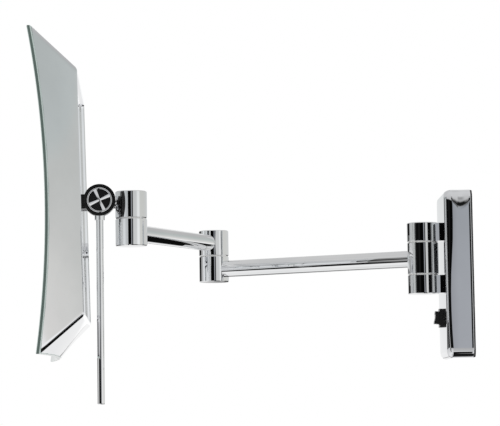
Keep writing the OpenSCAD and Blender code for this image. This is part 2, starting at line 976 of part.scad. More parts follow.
// Point on a square ring of half-size s, step k of 4 * ring_n.
function on_square(k, s) =
    let (side = floor(k / ring_n), t = (k % ring_n) / ring_n * 2 - 1)
    side == 0 ? [s, s * t] :
    side == 1 ? [-s * t, s] :
    side == 2 ? [-s, -s * t] : [s * t, -s];

// Depth of the housing's front rim above a point of the square.
function rim_x(p) = sphere_x - sqrt(pow(rim_r, 2) - pow(p[0], 2) - pow(p[1], 2));

// Half-size of the housing's outer wall at depth x, at step k.
function wall_half(k, x) =
    let (rim = rim_x(on_square(k, rim_half)))
    back_half + (rim_half - back_half) * (x - back_gap) / (rim - back_gap);

// Point of the housing's wall: step k, depth x (or "rim"), moved in by w.
function wall_point(k, x, w) =
    let (p = on_square(k, x == "rim" ? rim_half - w : wall_half(k, x) - w))
    [x == "rim" ? rim_x(p) : x, p[0], p[1]];

// Wall led round the square. Its section is a loop of [depth, inset from the outer wall].
module square_loft(section) {
    n = 4 * ring_n;
    m = len(section);
    points = [for (s = section, k = [0:n - 1]) wall_point(k, s[0], s[1])];
    faces = [for (j = [0:m - 1], k = [0:n - 1])
        let (a = j * n + k, b = j * n + (k + 1) % n,
            c = ((j + 1) % m) * n + (k + 1) % n, d = ((j + 1) % m) * n + k)
        each [[a, c, b], [a, d, c]]];
    polyhedron(points = points, faces = faces);
}

module mirror_housing() {
    color("silver")
        on_head()
            square_loft([[back_gap, 0], ["rim", 0], ["rim", shell_t],
                [ledge_x + ledge_t, shell_t], [ledge_x, shell_t], [back_gap, shell_t]]);
}

// Frame welded inside the housing, which carries the back plate and the lights.
module housing_ledge() {
    outer = shell_t + weld_gap;
    inner = outer + ledge_w;
    color("gray")
        on_head()
            difference() {
                square_loft([[ledge_x, outer], [ledge_x + ledge_t, outer],
                    [ledge_x + ledge_t, inner], [ledge_x, inner]]);
                for (sy = [-1, 1], sz = [-1, 1])
                    translate([0, sy * plate_screw, sz * plate_screw])
                        along_x(plate_screw_d, ledge_x - cut, ledge_x + ledge_t + cut);
            }
}

module mirror_glass() {
    color("lightblue")
        on_head()
            intersection() {
                translate([back_gap, -front_half, -front_half])
                    cube([head_depth + 2 * cut, glass_size, glass_size]);
                translate([sphere_x, 0, 0])
                    rotate([0, 90, 0])
                        difference() {
                            sphere(r = glass_r + glass_t, $fn = 360);
                            sphere(r = glass_r, $fn = 360);
                        }
            }
}

module led_board() {
    color("white")
        on_head()
            square_ring(board_half, board_w, board_x, board_x + board_t);
}

module led_chips() {
    pitch = 2 * board_half / (led_n + 1);
    x = board_x + board_t;
    off = board_half - board_w / 2;
    color("yellow")
        on_head()
            for (i = [1:led_n], s = [-1, 1]) {
                t = -board_half + i * pitch;
                translate([x, t - led_w / 2, s * off - led_w / 2])
                    cube([led_t, led_w, led_w]);
                if (i > 1 && i < led_n)
                    translate([x, s * off - led_w / 2, t - led_w / 2])
                        cube([led_t, led_w, led_w]);
            }
}

module light_diffuser() {
    color("white")
        on_head()
            square_ring(diffuser_half, diffuser_w, diffuser_x, diffuser_x + diffuser_t);
}

mounting_plate();
cover_shell();
cover_screws();
cable_grommet();
led_driver();
terminal_block();
switch_body();
switch_rocker();
backing_plate();
lug_screws();
upper_lug();
lower_lug();
wall_pin();
wall_washers();
wall_nut();
wall_caps();
arm1_wall_knuckle();
wall_bush();
arm1_tube();
arm1_elbow_knuckle();
arm1_cable();
elbow_pin();
elbow_washer();
elbow_nut();
elbow_lower_cap();
arm2_elbow_knuckle();
elbow_bush();
elbow_spring();
elbow_upper_cap();
arm2_tube();
arm2_head_knuckle();
arm2_cable();
head_pin();
head_washer();
head_nut();
head_lower_cap();
swivel_knuckle();
head_bush();
head_spring();
head_upper_cap();
pivot_bracket();
bracket_screws();
tilt_shaft();
friction_washers();
handle_collar();
handle_rod();
handle_hub();
tension_knob();
knob_trim();
back_plate();
back_plate_screws();
mirror_housing();
housing_ledge();
mirror_glass();
led_board();
led_chips();
light_diffuser();
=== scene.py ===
"""Looks of the extendable shaving mirror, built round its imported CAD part.

The scene is in metres, the shape tools and their sizes are in millimetres. The wall is the plane X = 0,
the mirror stands out along -X, and the camera looks along +Y.
"""

import json
import math

import bmesh
import bpy
from mathutils import Matrix, Vector


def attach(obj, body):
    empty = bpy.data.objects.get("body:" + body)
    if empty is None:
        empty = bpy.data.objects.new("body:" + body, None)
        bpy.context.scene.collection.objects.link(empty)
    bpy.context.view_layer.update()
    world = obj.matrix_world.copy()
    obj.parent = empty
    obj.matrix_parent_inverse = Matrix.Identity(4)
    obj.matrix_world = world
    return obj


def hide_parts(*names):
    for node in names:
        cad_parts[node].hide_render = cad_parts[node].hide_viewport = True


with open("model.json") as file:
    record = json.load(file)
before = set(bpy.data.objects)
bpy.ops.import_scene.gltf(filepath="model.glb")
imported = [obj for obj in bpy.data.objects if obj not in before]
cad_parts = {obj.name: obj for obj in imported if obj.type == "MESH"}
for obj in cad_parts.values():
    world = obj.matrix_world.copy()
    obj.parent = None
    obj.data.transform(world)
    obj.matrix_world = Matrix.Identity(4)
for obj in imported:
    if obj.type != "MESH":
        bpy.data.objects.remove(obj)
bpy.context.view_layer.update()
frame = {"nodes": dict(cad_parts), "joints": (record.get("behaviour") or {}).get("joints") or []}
MM = 0.001


# ---------------------------------------------------------------- camera
FRAME_WIDE_PX, FOCAL_PX = 500, 2151.7           # the photograph's width and its fitted focal length
SENSOR_MM = 36.0
CAMERA_AT = Vector((-170.3, -1591.9, -98.0)) * MM
PAN, PITCH, ROLL = 0.0052, 0.092, 0.0153        # radians


def make_camera():
    """The camera at the photograph's viewing angle."""
    ahead = Vector((math.sin(PAN) * math.cos(PITCH), math.cos(PAN) * math.cos(PITCH), math.sin(PITCH)))
    level = Vector((math.cos(PAN), -math.sin(PAN), 0.0))
    upright = level.cross(ahead)
    right = level * math.cos(ROLL) - upright * math.sin(ROLL)
    up = level * math.sin(ROLL) + upright * math.cos(ROLL)
    data = bpy.data.cameras.new("camera")
    data.sensor_fit = "HORIZONTAL"
    data.sensor_width = SENSOR_MM
    data.lens = SENSOR_MM * FOCAL_PX / FRAME_WIDE_PX
    camera = bpy.data.objects.new("camera", data)
    bpy.context.scene.collection.objects.link(camera)
    turn = Matrix((right, up, -ahead)).transposed()
    camera.matrix_world = Matrix.Translation(CAMERA_AT) @ turn.to_4x4()
    bpy.context.scene.camera = camera


# ---------------------------------------------------------------- node helpers
def add(tree, kind, **inputs):
    """A node of that kind with its inputs set or linked.

    An input goes by its name, with _ for each space, or by its number, as _0 or _1.
    """
    node = tree.nodes.new(kind)
    for name, value in inputs.items():
        socket = node.inputs[int(name[1:])] if name[0] == "_" else node.inputs[name.replace("_", " ")]
        if isinstance(value, bpy.types.NodeSocket):
            tree.links.new(value, socket)
        else:
            socket.default_value = value
    return node


def maths(tree, operation, a, b=0.0, c=0.0, clamp=False):
    """The output of a Math node."""
    node = add(tree, "ShaderNodeMath", _0=a, _1=b, _2=c)
    node.operation = operation
    node.use_clamp = clamp
    return node.outputs[0]


def ramp(tree, value, stops):
    """The output of a colour ramp with stops of (position, grey or colour)."""
    node = add(tree, "ShaderNodeValToRGB", Fac=value)
    elements = node.color_ramp.elements
    while len(elements) < len(stops):
        elements.new(0.5)
    for element, (position, colour) in zip(elements, stops):
        element.position = position
        element.color = (*(colour if isinstance(colour, tuple) else grey(colour)), 1)
    return node.outputs[0]


def mix(tree, share, a, b):
    """The output of a colour mix of a and b, which are sockets 6 and 7 of a Mix node."""
    node = tree.nodes.new("ShaderNodeMix")
    node.data_type = "RGBA"
    for index, value in ((0, share), (6, a), (7, b)):
        if isinstance(value, bpy.types.NodeSocket):
            tree.links.new(value, node.inputs[index])
        else:
            node.inputs[index].default_value = (*value, 1) if isinstance(value, tuple) else value
    return node.outputs[2]


def grey(value):
    """A colour with three equal parts."""
    return (value, value, value)


# ---------------------------------------------------------------- studio
# What the chrome mirrors, as (degrees, grey or colour) stops. Azimuth 0 is straight back at the camera and
# +90 is along +X; elevation -90 is straight below.
# Light at eye level, by azimuth.
AROUND = (
    (-180, 0.95), (-156, 0.75), (-146, 0.05), (-141, 0.004), (-120, 0.004), (-112, 0.50), (-72, 0.66),
    (-63.5, 0.58), (-59.5, 0.01), (-38, 0.003), (-34, 0.012), (-26, 0.012), (-21, 0.002), (1, 0.002),
    (4.5, (0.41, 0.42, 0.45)), (7, (0.46, 0.475, 0.505)), (8.5, 0.01), (14, 0.01), (17, 0.70), (40, 0.72),
    (50, 0.98), (62, 0.98), (70, (0.73, 0.725, 0.70)), (100, (0.72, 0.715, 0.69)), (150, 0.74),
    (162, 0.82), (168, 1.12), (180, 1.12),
)
# How that light falls off with elevation, and the share it has before the columns below take over.
GRADE = ((-2, 1.0), (0, 0.98), (8, (0.79, 0.81, 0.81)), (30, (0.79, 0.81, 0.81)))
LEVEL_BAND = ((-2, 0.0), (-1, 1.0), (9, 1.0), (11, 0.0))

# Straight below: light on the left, and on the right a dark card for the cover's bottom bend.
LIT_BELOW = ((-90, 0.50), (-70, 0.62))
DARK_BELOW = ((-90, 0.01), (-69, 0.01))


def right_side(low, high):
    """Light by elevation on the object's right, with a dark card between two elevations."""
    return DARK_BELOW + (
        (-64, 0.40), (low - 3, 0.42), (low, 0.004), (high, 0.004), (high + 1.5, 0.95), (-5.5, 0.95),
        (-4, (0.76, 0.745, 0.72)), (-1, (0.73, 0.72, 0.70)), (10, (0.54, 0.575, 0.565)),
        (20, (0.48, 0.51, 0.50)), (28, 0.50), (60, 0.58), (90, 0.70))


# Light by elevation in columns: the azimuth where each is full, over how many degrees it comes in, and its
# stops. They run from behind the object round its left, past the camera and round its right.
COLUMNS = (
    # behind the object
    (-180, 1, ((-90, 0.01), (-60, 0.02), (-54, 0.50), (-46, 0.24), (-10, 0.30), (-6, 0.88), (12, 0.90),
               (22, 0.66), (66, 0.60), (90, 0.70))),
    # left: a soft box, the dark card that draws the arms' black line, a soft box
    (-160, 8, LIT_BELOW + ((-62, 0.85), (-50, 0.92), (-30, 0.80), (-6, 0.66), (20, 0.62), (56, 0.60),
                           (90, 0.70))),
    (-68.5, 3, LIT_BELOW + ((-62, 0.85), (-40, 0.92), (-36, 0.004), (20, 0.004), (26, 0.60), (90, 0.70))),
    (-53, 4, LIT_BELOW + ((-60, 0.80), (-20, 0.70), (-5, 0.55), (10, 0.55), (40, 0.64), (90, 0.70))),
    # the camera's side, with a dark card above and one below
    (0, 6, ((-90, 0.004), (-43, 0.004), (-40, 0.90), (-37, 0.90), (-34, 0.55), (-8, 0.48), (9, 0.40),
            (12, 0.01), (17, 0.01), (20, 0.45), (26, 0.34), (32, 0.68), (90, 0.70))),
    # right: a soft box, then the dark card that draws the line on the head's lower corner
    (18, 6, DARK_BELOW + ((-64, 0.70), (-60, 0.80), (-20, 0.74), (10, 0.62), (40, 0.66), (90, 0.70))),
    (74, 4, right_side(-36, -11)),
    (92, 4, right_side(-43, -11)),
    (108, 4, right_side(-44, -17)),
    (124, 3, right_side(-44, -11)),
    (137, 4, right_side(-42, -14)),
    # behind the object
    (169, 7, ((-90, 0.01), (-60, 0.02), (-50, 0.70), (-32, 0.90), (-12, 0.92), (-8, 0.86), (10, 0.94),
              (22, 0.80), (66, 0.66), (90, 0.70))),
)
SEEN_LIGHT, DIFFUSE_LIGHT = grey(1.0), grey(0.84)


def angle_stops(stops, reach):
    """Ramp stops from (degrees, light) over -reach..reach."""
    return [((degrees + reach) / (2 * reach), light) for degrees, light in stops]


def make_world():
    """White to the camera, with soft boxes and dark cards for what mirrors it."""
    world = bpy.data.worlds.new("studio")
    world.use_nodes = True
    tree = world.node_tree
    tree.nodes.clear()
    way = add(tree, "ShaderNodeTexCoord").outputs["Generated"]
    split = add(tree, "ShaderNodeSeparateXYZ", Vector=way)
    back = maths(tree, "MULTIPLY", split.outputs["Y"], -1.0)
    azimuth = maths(tree, "ARCTAN2", split.outputs["X"], back)
    azimuth = maths(tree, "MULTIPLY_ADD", azimuth, 0.5 / math.pi, 0.5)
    elevation = maths(tree, "ARCSINE", split.outputs["Z"])
    elevation = maths(tree, "MULTIPLY_ADD", elevation, 1.0 / math.pi, 0.5)
    studio = grey(0.0)
    for start, softness, stops in COLUMNS:
        share = ramp(tree, azimuth, angle_stops(((start - softness, 0.0), (start, 1.0)), 180))
        studio = mix(tree, share, studio, ramp(tree, elevation, angle_stops(stops, 90)))
    level = mix(tree, 1.0, ramp(tree, azimuth, angle_stops(AROUND, 180)),
                ramp(tree, elevation, angle_stops(GRADE, 90)))
    level.node.blend_type = "MULTIPLY"
    studio = mix(tree, ramp(tree, elevation, angle_stops(LEVEL_BAND, 90)), studio, level)
    path = add(tree, "ShaderNodeLightPath")
    colour = mix(tree, path.outputs["Is Diffuse Ray"], studio, DIFFUSE_LIGHT)
    colour = mix(tree, path.outputs["Is Camera Ray"], colour, SEEN_LIGHT)
    background = add(tree, "ShaderNodeBackground", Color=colour, Strength=1.0)
    out = tree.nodes.new("ShaderNodeOutputWorld")
    tree.links.new(background.outputs[0], out.inputs["Surface"])
    bpy.context.scene.world = world
    bpy.context.scene.view_settings.view_transform = "Standard"


FLOOR_Z, FLOOR_HALF = -0.42, 6.0
FLOOR_COLOUR, FLOOR_PALER, FLOOR_ROUGHNESS = grey(0.93), 1.03, 0.6


def make_floor():
    """A pale plain floor below the object."""
    corners = [(-1, -1), (1, -1), (1, 1), (-1, 1)]
    mesh = bpy.data.meshes.new("floor")
    mesh.from_pydata([(x * FLOOR_HALF, y * FLOOR_HALF, FLOOR_Z) for x, y in corners], [], [(0, 1, 2, 3)])
    floor = bpy.data.objects.new("floor", mesh)
    bpy.context.scene.collection.objects.link(floor)
    floor.visible_glossy = False
    floor.data.materials.append(floor_material())


KEY_AT, KEY_AIM = Vector((-1.4, -1.1, 1.9)), Vector((-0.15, 0.0, 0.0))
KEY_SIZE, KEY_WATTS = 1.6, 26.0


def make_key_light():
    """A soft area light that lights the object without showing in its chrome."""
    data = bpy.data.lights.new("key", "AREA")
    data.shape = "SQUARE"
    data.size = KEY_SIZE
    data.energy = KEY_WATTS
    light = bpy.data.objects.new("key", data)
    bpy.context.scene.collection.objects.link(light)
    light.location = KEY_AT
    light.rotation_mode = "QUATERNION"
    light.rotation_quaternion = (KEY_AIM - KEY_AT).to_track_quat("-Z", "Y")
    light.visible_glossy = False


# ---------------------------------------------------------------- materials
NOISE_SPAN, DRIFT_SPAN = (0.3, 0.7), (0.32, 0.68)               # the values that a noise mostly takes
FINE_SHARE, DRIFT_SHARE = 0.35, 0.65            # what the grain and the drift add to the roughness
BUMP_DISTANCE = 0.0002


def new_material(name):
    """An empty material, its tree and its Principled shader."""
    material = bpy.data.materials.new(name)
    material.use_nodes = True
    tree = material.node_tree
    return material, tree, tree.nodes["Principled BSDF"]


def floor_material():
    """One pale colour with a faint mottling."""
    material, tree, shader = new_material("floor")
    where = add(tree, "ShaderNodeTexCoord").outputs["Object"]
    noise = add(tree, "ShaderNodeTexNoise", Vector=where, Scale=3.0, Detail=3.0).outputs[0]
    paler = tuple(part * FLOOR_PALER for part in FLOOR_COLOUR)
    colour = ramp(tree, noise, ((NOISE_SPAN[0], FLOOR_COLOUR), (NOISE_SPAN[1], paler)))
    tree.links.new(colour, shader.inputs["Base Color"])
    shader.inputs["Roughness"].default_value = FLOOR_ROUGHNESS
    return material


def surface(name, dark, light, rough, metallic=0.0, grain=400.0, bump=0.02, cloud=18.0, streak=(1, 1, 1),
            **fixed):
    """A material whose colour drifts from dark to light and whose roughness runs over rough.

    grain is the scale of its fine bump, cloud that of its drift, and streak stretches the grain.
    """
    material, tree, shader = new_material(name)
    where = add(tree, "ShaderNodeTexCoord").outputs["Object"]
    drift = add(tree, "ShaderNodeTexNoise", Vector=where, Scale=cloud, Detail=4.0, Roughness=0.6).outputs[0]
    stretched = add(tree, "ShaderNodeMapping", Vector=where, Scale=streak).outputs[0]
    fine = add(tree, "ShaderNodeTexNoise", Vector=stretched, Scale=grain, Detail=2.0).outputs[0]
    colour = ramp(tree, drift, ((DRIFT_SPAN[0], dark), (DRIFT_SPAN[1], light)))
    tree.links.new(colour, shader.inputs["Base Color"])
    both = maths(tree, "MULTIPLY_ADD", fine, FINE_SHARE, maths(tree, "MULTIPLY", drift, DRIFT_SHARE),
                 clamp=True)
    span = add(tree, "ShaderNodeMapRange", Value=both, From_Min=NOISE_SPAN[0], From_Max=NOISE_SPAN[1],
               To_Min=rough[0], To_Max=rough[1])
    tree.links.new(span.outputs[0], shader.inputs["Roughness"])
    relief = add(tree, "ShaderNodeBump", Height=fine, Strength=bump, Distance=BUMP_DISTANCE)
    tree.links.new(relief.outputs[0], shader.inputs["Normal"])
    shader.inputs["Metallic"].default_value = metallic
    for socket, value in fixed.items():
        shader.inputs[socket.replace("_", " ")].default_value = value
    return material


# The record's slots, and the glass's own tones: what surface() makes each from.
LOOKS = {
    "chrome": dict(dark=(0.86, 0.87, 0.88), light=(0.93, 0.935, 0.94), rough=(0.006, 0.03), metallic=1.0,
                   bump=0.003),
    "chrome_sheet": dict(dark=(0.82, 0.83, 0.85), light=(0.89, 0.90, 0.92), rough=(0.01, 0.04),
                         metallic=1.0, bump=0.004),
    "trim": dict(dark=(0.84, 0.85, 0.86), light=(0.92, 0.93, 0.94), rough=(0.07, 0.13), metallic=1.0,
                 bump=0.01),
    "mirror": dict(dark=(0.82, 0.86, 0.85), light=(0.86, 0.89, 0.88), rough=(0.0, 0.02), metallic=1.0,
                   bump=0.0),
    "glass_edge": dict(dark=(0.08, 0.11, 0.10), light=(0.12, 0.155, 0.14), rough=(0.05, 0.14), bump=0.06),
    "glass_pale": dict(dark=(0.44, 0.51, 0.49), light=(0.52, 0.59, 0.57), rough=(0.05, 0.14), bump=0.04),
    "glass_back": dict(dark=(0.40, 0.50, 0.47), light=(0.46, 0.56, 0.53), rough=(0.35, 0.5), bump=0.05),
    "frosted": dict(dark=(0.80, 0.84, 0.83), light=(0.88, 0.91, 0.90), rough=(0.5, 0.7), bump=0.08,
                    grain=1500.0),
    "black_plastic": dict(dark=grey(0.003), light=grey(0.008), rough=(0.16, 0.32), bump=0.06, grain=900.0,
                          Specular_IOR_Level=0.35),
    "steel": dict(dark=grey(0.42), light=grey(0.6), rough=(0.25, 0.45), metallic=1.0, bump=0.05,
                  streak=(1, 1, 14)),
    "bush": dict(dark=(0.74, 0.73, 0.68), light=(0.84, 0.83, 0.79), rough=(0.35, 0.5), bump=0.05),
    "rubber": dict(dark=grey(0.015), light=grey(0.035), rough=(0.6, 0.85), bump=0.2, grain=700.0),
    "cable": dict(dark=grey(0.03), light=grey(0.06), rough=(0.45, 0.6), bump=0.1, grain=700.0),
    "white_plastic": dict(dark=(0.78, 0.78, 0.76), light=(0.86, 0.86, 0.84), rough=(0.35, 0.5), bump=0.06,
                          grain=900.0),
    "diffuser": dict(dark=(0.84, 0.84, 0.82), light=(0.92, 0.92, 0.9), rough=(0.4, 0.55), bump=0.04),
    "board": dict(dark=(0.78, 0.79, 0.76), light=(0.88, 0.88, 0.86), rough=(0.35, 0.5), bump=0.05),
    "led": dict(dark=(0.85, 0.72, 0.3), light=(0.95, 0.85, 0.45), rough=(0.2, 0.35), bump=0.04),
}


def slots_by_node():
    """Node name to material slot, from the material that the pack gave each node."""
    return {name: node.data.materials[0].name.split(".")[0] for name, node in frame["nodes"].items()}


def dress_nodes(materials):
    """Gives every CAD node the material of its slot."""
    for node, slot in slots_by_node().items():
        mesh = frame["nodes"][node].data
        mesh.materials.clear()
        mesh.materials.append(materials[slot])


# ---------------------------------------------------------------- shape tools
WELD = 1e-7                                     # metres within which points become one


def welded_mesh(name, points, faces, looks=(), paint=None):
    """A mesh of millimetre points with its normals out; paint gives each face's entry in looks."""
    mesh = bpy.data.meshes.new(name)
    mesh.from_pydata([Vector(p) * MM for p in points], [], faces)
    for look in looks:
        mesh.materials.append(look)
    if paint:
        mesh.polygons.foreach_set("material_index", paint)
    shape = bmesh.new()
    shape.from_mesh(mesh)
    bmesh.ops.remove_doubles(shape, verts=shape.verts, dist=WELD)
    bmesh.ops.recalc_face_normals(shape, faces=shape.faces)
    shape.to_mesh(mesh)
    shape.free()
    return mesh


def build(name, points, faces, body, looks, replaces=(), paint=None, crisp=35.0):
    """A piece in place of the CAD nodes in replaces, smooth but for creases sharper than crisp degrees."""
    mesh = welded_mesh(name, points, faces, looks, paint)
    mesh.shade_smooth()
    mesh.set_sharp_from_angle(angle=math.radians(crisp))
    piece = bpy.data.objects.new(name, mesh)
    bpy.context.scene.collection.objects.link(piece)
    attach(piece, body)
    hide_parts(*replaces)
    return piece


def pierce(piece, points, faces):
    """Cuts a closed skin of millimetre points out of a piece."""
    tool = bpy.data.objects.new("cut", welded_mesh("cut", points, faces))
    bpy.context.scene.collection.objects.link(tool)
    tool.matrix_world = piece.matrix_world
    bpy.context.view_layer.update()
    cut = piece.modifiers.new("cut", "BOOLEAN")
    cut.object = tool
    cut.solver = "EXACT"
    ready = piece.evaluated_get(bpy.context.evaluated_depsgraph_get())
    piece.data = bpy.data.meshes.new_from_object(ready)
    piece.modifiers.clear()
    bpy.data.objects.remove(tool)


def loft(loops, first_cap=False, last_cap=False, closed=False):
    """Points and faces of a skin over loops of equally many points."""
    count = len(loops[0])
    points = [p for loop in loops for p in loop]
    spans = len(loops) if closed else len(loops) - 1
    faces = []
    for j in range(spans):
        low, high = j * count, (j + 1) % len(loops) * count
        for k in range(count):
            n = (k + 1) % count
            faces.append((low + k, low + n, high + n, high + k))
    if first_cap:
        faces.append(tuple(range(count)))
    if last_cap:
        faces.append(tuple(range(len(points) - count, len(points))))
    return points, faces


def join(points, faces, skin, quads):
    """Adds a skin and its faces to a list of points and a list of faces."""
    base = len(points)
    points += skin
    faces += [tuple(base + i for i in quad) for quad in quads]


def lathe(profile, place, steps):
    """A skin turned from (radius, along) points; place maps (x, along, z) to the row frame."""
    turns = [2 * math.pi * k / steps for k in range(steps)]
    loops = [[place(radius * math.cos(t), along, radius * math.sin(t)) for t in turns]
             for radius, along in profile]
    return loft(loops, first_cap=True, last_cap=True)


def curve(start, control, end, steps):
    """Points along a quadratic curve, without its start."""
    points = []
    for i in range(1, steps + 1):
        t = i / steps
        points.append(tuple((1 - t) ** 2 * a + 2 * t * (1 - t) * b + t ** 2 * c
                            for a, b, c in zip(start, control, end)))
    return points


def ease(t):
    """A soft step from 0 at t = 0 to 1 at t = 1, flat beyond both."""
    t = min(1.0, max(0.0, t))
    return t * t * (3 - 2 * t)


LEAD_STEPS, ROUND_STEPS, TAIL_STEPS = 5, 10, 4


def corner(lead, radius, tail):
    """A rounded corner as (up, inward, turn) from its start, with a lead and tail of (length, degrees).

    The lead and the tail turn slowly over their length, so the flats run softly into the round.
    """
    first, last = math.radians(lead[1]), math.radians(90 - tail[1])
    path = [(0.0, 0.0, 0.0)]
    for length, start, end, steps in ((lead[0], 0.0, first, LEAD_STEPS),
                                      (radius * (last - first), first, last, ROUND_STEPS),
                                      (tail[0], last, math.pi / 2, TAIL_STEPS)):
        for i in range(steps):
            heading = start + (end - start) * (i + 0.5) / steps
            up, inward, _ = path[-1]
            path.append((up + length / steps * math.cos(heading),
                         inward + length / steps * math.sin(heading),
                         start + (end - start) * (i + 1) / steps))
    return path


HOLD = 0.3                                      # mm of flat kept straight next to a corner


def quarter(half_y, half_z, path):
    """Points and normals from the middle of the y side round the corner, short of the z side's middle."""
    up, inward, _ = path[-1]
    rise, reach = half_z - up, half_y - inward
    ring = [(half_y, rise * t, 1.0, 0.0) for t in (0.0, 0.25, 0.5, 0.75, 1 - HOLD / rise)]
    ring += [(half_y - v, rise + u, math.cos(a), math.sin(a)) for u, v, a in path]
    return ring + [(reach * t, half_z, 0.0, 1.0) for t in (1 - HOLD / reach, 0.66, 0.33)]


def mirrored(ring, a, b):
    """Points and normals with their y times a and their z times b."""
    return [(y * a, z * b, m * a, n * b) for y, z, m, n in ring]


def outline(half_y, half_z, top, bottom):
    """A closed outline of (y, z) points with normals, from the corner paths at its top and bottom."""
    upper, lower = quarter(half_y, half_z, top), quarter(half_y, half_z, bottom)
    return (upper + [(0.0, half_z, 0.0, 1.0)] + mirrored(upper[:0:-1], -1, 1) + mirrored(lower, -1, -1)
            + [(0.0, -half_z, 0.0, -1.0)] + mirrored(lower[:0:-1], 1, -1))


# ---------------------------------------------------------------- mirror head
# Millimetres in the head's own frame, as in the CAD: x from the tilt axis to the front, y to the knob.
HEAD_LEAN = 1.3                                 # degrees
GLASS_HALF, GLASS_T, GLASS_R = 112.0, 3.0, 710.0
HEAD_DEPTH, BACK_GAP = 33.0, 11.4
BACK_HALF, RIM_HALF = 86.0, 111.4
SHELL_T, PLATE_IN = 1.5, 3.0
GLASS_SAG = GLASS_R - math.sqrt(GLASS_R ** 2 - 2 * GLASS_HALF ** 2)
SPHERE_X = BACK_GAP + HEAD_DEPTH - GLASS_SAG + GLASS_R


def head_frame():
    """The matrix from the head's frame to the row frame, in millimetres, from the tilt joint."""
    joint = next(j for j in frame["joints"] if j["name"] == "mirror_tilt")
    side = -Vector(joint["axis"])
    level = side.cross(Vector((0, 0, 1)))
    lean = Matrix.Rotation(math.radians(HEAD_LEAN), 4, "Y")
    turn = Matrix((level, side, (0, 0, 1))).transposed().to_4x4()
    return Matrix.Translation(Vector(joint["pos_m"]) / MM) @ turn @ lean


HEAD = head_frame()


def on_head(x, y, z):
    """A point of the head's frame in the row frame."""
    return HEAD @ Vector((x, y, z))


def node_points(name):
    """A CAD node's vertices in the head's frame."""
    inverse = HEAD.inverted()
    return [inverse @ (vertex.co / MM) for vertex in frame["nodes"][name].data.vertices]


def sphere_depth(y, z, radius):
    """Depth of a sphere about the glass's centre at (y, z)."""
    return SPHERE_X - math.sqrt(radius ** 2 - y ** 2 - z ** 2)


GLASS_SPANS = 48
ARRIS = 0.5                                     # the ground bevel along both edges
EDGE_TURN = 0.75 * GLASS_T                      # how deep the edge is dark before it turns pale
FROST = (76.0, 88.0)                            # the frosted band's inner and outer half size


def make_glass(looks):
    """The concave silvered glass with its ground green edge, frosted band and painted back.

    looks holds the materials of the front, the edge, the back, the frosted band and the pale arrises.
    """
    front, edge, back, frosted, pale = range(5)
    stops = [-GLASS_HALF + 2 * GLASS_HALF * i / GLASS_SPANS for i in range(GLASS_SPANS + 1)]
    inner = GLASS_HALF - ARRIS
    squeeze = [max(-inner, min(inner, t)) for t in stops]
    middles = [(a + b) / 2 for a, b in zip(stops, stops[1:])]
    points, faces, paint = [], [], []

    def sheet(radius, flip, colour):
        """One side of the glass; colour picks the material at (y, z)."""
        base, row = len(points), len(squeeze)
        points.extend(on_head(sphere_depth(y, z, radius), y, z) for y in squeeze for z in squeeze)
        for i, y in enumerate(middles):
            for j, z in enumerate(middles):
                a = base + i * row + j
                quad = (a, a + 1, a + row + 1, a + row)
                faces.append(quad[::-1] if flip else quad)
                paint.append(colour(y, z))

    def lit(y, z):
        """Frosted in the square band, silvered elsewhere."""
        return frosted if FROST[0] < max(abs(y), abs(z)) < FROST[1] else front

    sheet(GLASS_R, True, lit)
    sheet(GLASS_R + GLASS_T, False, lambda y, z: back)
    rings = []
    for line, depth in ((squeeze, 0.0), (stops, ARRIS), (stops, EDGE_TURN), (stops, GLASS_T - ARRIS),
                        (squeeze, GLASS_T)):
        half, steps = line[-1], line[:-1]
        square = ([(half, t) for t in steps] + [(-t, half) for t in steps]
                  + [(-half, -t) for t in steps] + [(t, -half) for t in steps])
        rings.append([on_head(sphere_depth(y, z, GLASS_R + depth), y, z) for y, z in square])
    join(points, faces, *loft(rings))
    for strip in (pale, edge, pale, pale):
        paint += [strip] * len(rings[0])
    build("glass", points, faces, "head", looks, ["mirror_glass"], paint)


WALL_SPANS = 8
GLASS_SEAT = 0.15                               # between the glass and the rim behind it
WALL_CORNER, CORNER_TAPER = 3.2, 0.8            # corner radius at the back, and its loss up to the rim
WALL_SOFT = (2.2, 6.0)                          # each corner's lead and tail
BACK_BEND = 1.5                                 # where the wall starts to bend over to the back
LIP, LIP_FLAT, FOOT = 1.5, 0.2, 3.9             # how far in the back edge's lip and its foot reach
FOOT_GAP = 0.02                                 # between the foot and the back plate
BEND_CONTROL = (0.1, 0.7)                       # how soft the lip's bend down to the foot is
RIM_EASE = ((2.2, 0.0), (1.4, 0.02), (0.7, 0.07), (0.0, 0.15))  # back from the rim, and how far in


